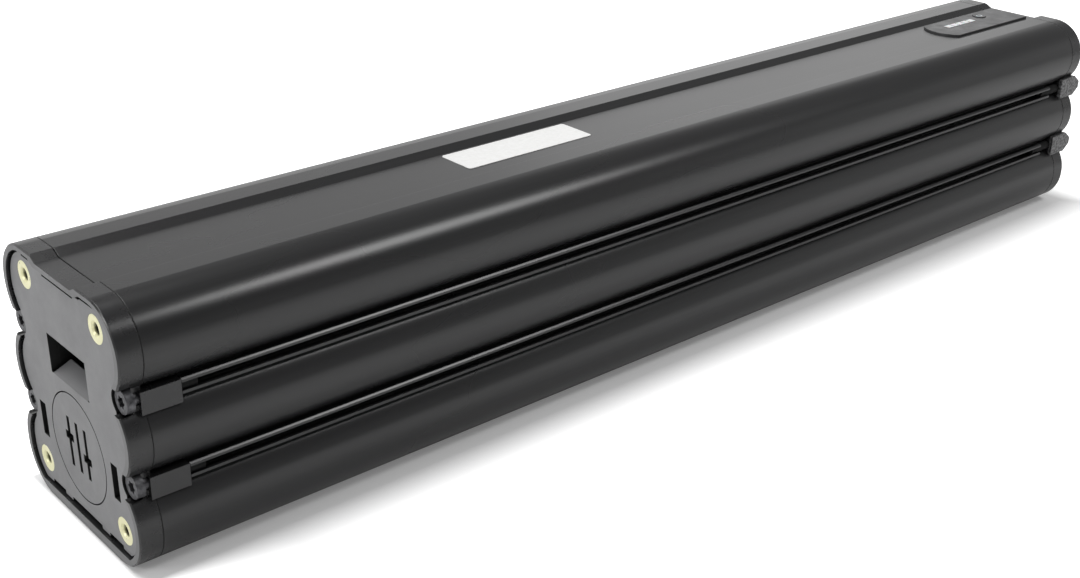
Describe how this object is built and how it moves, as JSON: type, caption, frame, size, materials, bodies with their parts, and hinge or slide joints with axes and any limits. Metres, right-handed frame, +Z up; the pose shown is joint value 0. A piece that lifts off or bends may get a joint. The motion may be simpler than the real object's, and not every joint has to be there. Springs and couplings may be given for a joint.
{
  "type": "e-bike frame battery",
  "caption": "Long battery pack for an electric bicycle frame: lobed aluminium tube, latch end with threaded inserts, connector end, and a top control panel with a light bar and a button.",
  "frame": {"origin": "centre of the underside of the pack's box", "axes": "+X along the pack towards the connector end, +Z up towards the face with the control panel"},
  "size_m": [0.4094, 0.065, 0.0732],
  "materials": {
    "housing": "satin, dark anodised",
    "cap": "fine matt moulding",
    "plate": "matt",
    "pocket": "matt",
    "brass": "turned",
    "vent": "matt",
    "membrane": "matt",
    "screw": "dark zinc",
    "screw_bright": "zinc",
    "gasket": "matt",
    "insulator": "matt",
    "foam": "matt",
    "cell": "shrink sleeve over a filled can",
    "holder": "matt",
    "nickel": "bright",
    "lead_red": "satin",
    "lead_black": "satin",
    "fuse": "gloss",
    "ribbon": "satin",
    "board": "solder mask",
    "component": "moulded",
    "standoff": "matt",
    "socket": "matt",
    "contact": "plated",
    "panel": "fine matt moulding",
    "light": "milky",
    "led": "clear",
    "switch": "moulded",
    "button": "satin",
    "label": "satin film"
  },
  "bodies": {
    "pack": {"housing": "housing", "latch_end_cap": "cap", "latch_end_plate": "plate", "latch_pocket": "pocket", "threaded_inserts": "brass", "vent_cap": "vent", "vent_membrane": "membrane", "latch_cap_screws": "screw", "latch_end_gasket": "gasket", "latch_insulator": "insulator", "latch_foam": "foam", "cell_layer_1": "cell", "cell_layer_2": "cell", "cell_layer_3": "cell", "cell_layer_4": "cell", "cell_layer_5": "cell", "cell_holders": "holder", "nickel_strips": "nickel", "main_lead_positive": "lead_red", "main_lead_negative": "lead_black", "fuse_holder": "fuse", "sense_ribbon": "ribbon", "temperature_sensors": "lead_black", "electronics_insulator": "insulator", "bms_board": "board", "bms_components": "component", "bms_standoffs": "standoff", "bms_screws": "screw_bright", "connector_end_cap": "cap", "connector_end_gasket": "gasket", "connector_cap_screws": "screw", "socket_shell": "socket", "socket_seal": "gasket", "socket_screws": "screw_bright", "power_contacts": "contact", "signal_contacts": "contact", "control_panel": "panel", "light_bar": "light", "panel_board": "board", "panel_leds": "led", "switch_body": "switch", "rating_label": "label"},
    "button": {"power_button": "button", "switch_plunger": "component"}
  },
  "joints": [
    {"name": "button_press", "type": "slide", "parent": "pack", "child": "button", "axis": [0, 0, -1], "range_m": [0, 0.0005], "stiffness_N_per_m": 3000}
  ]
}
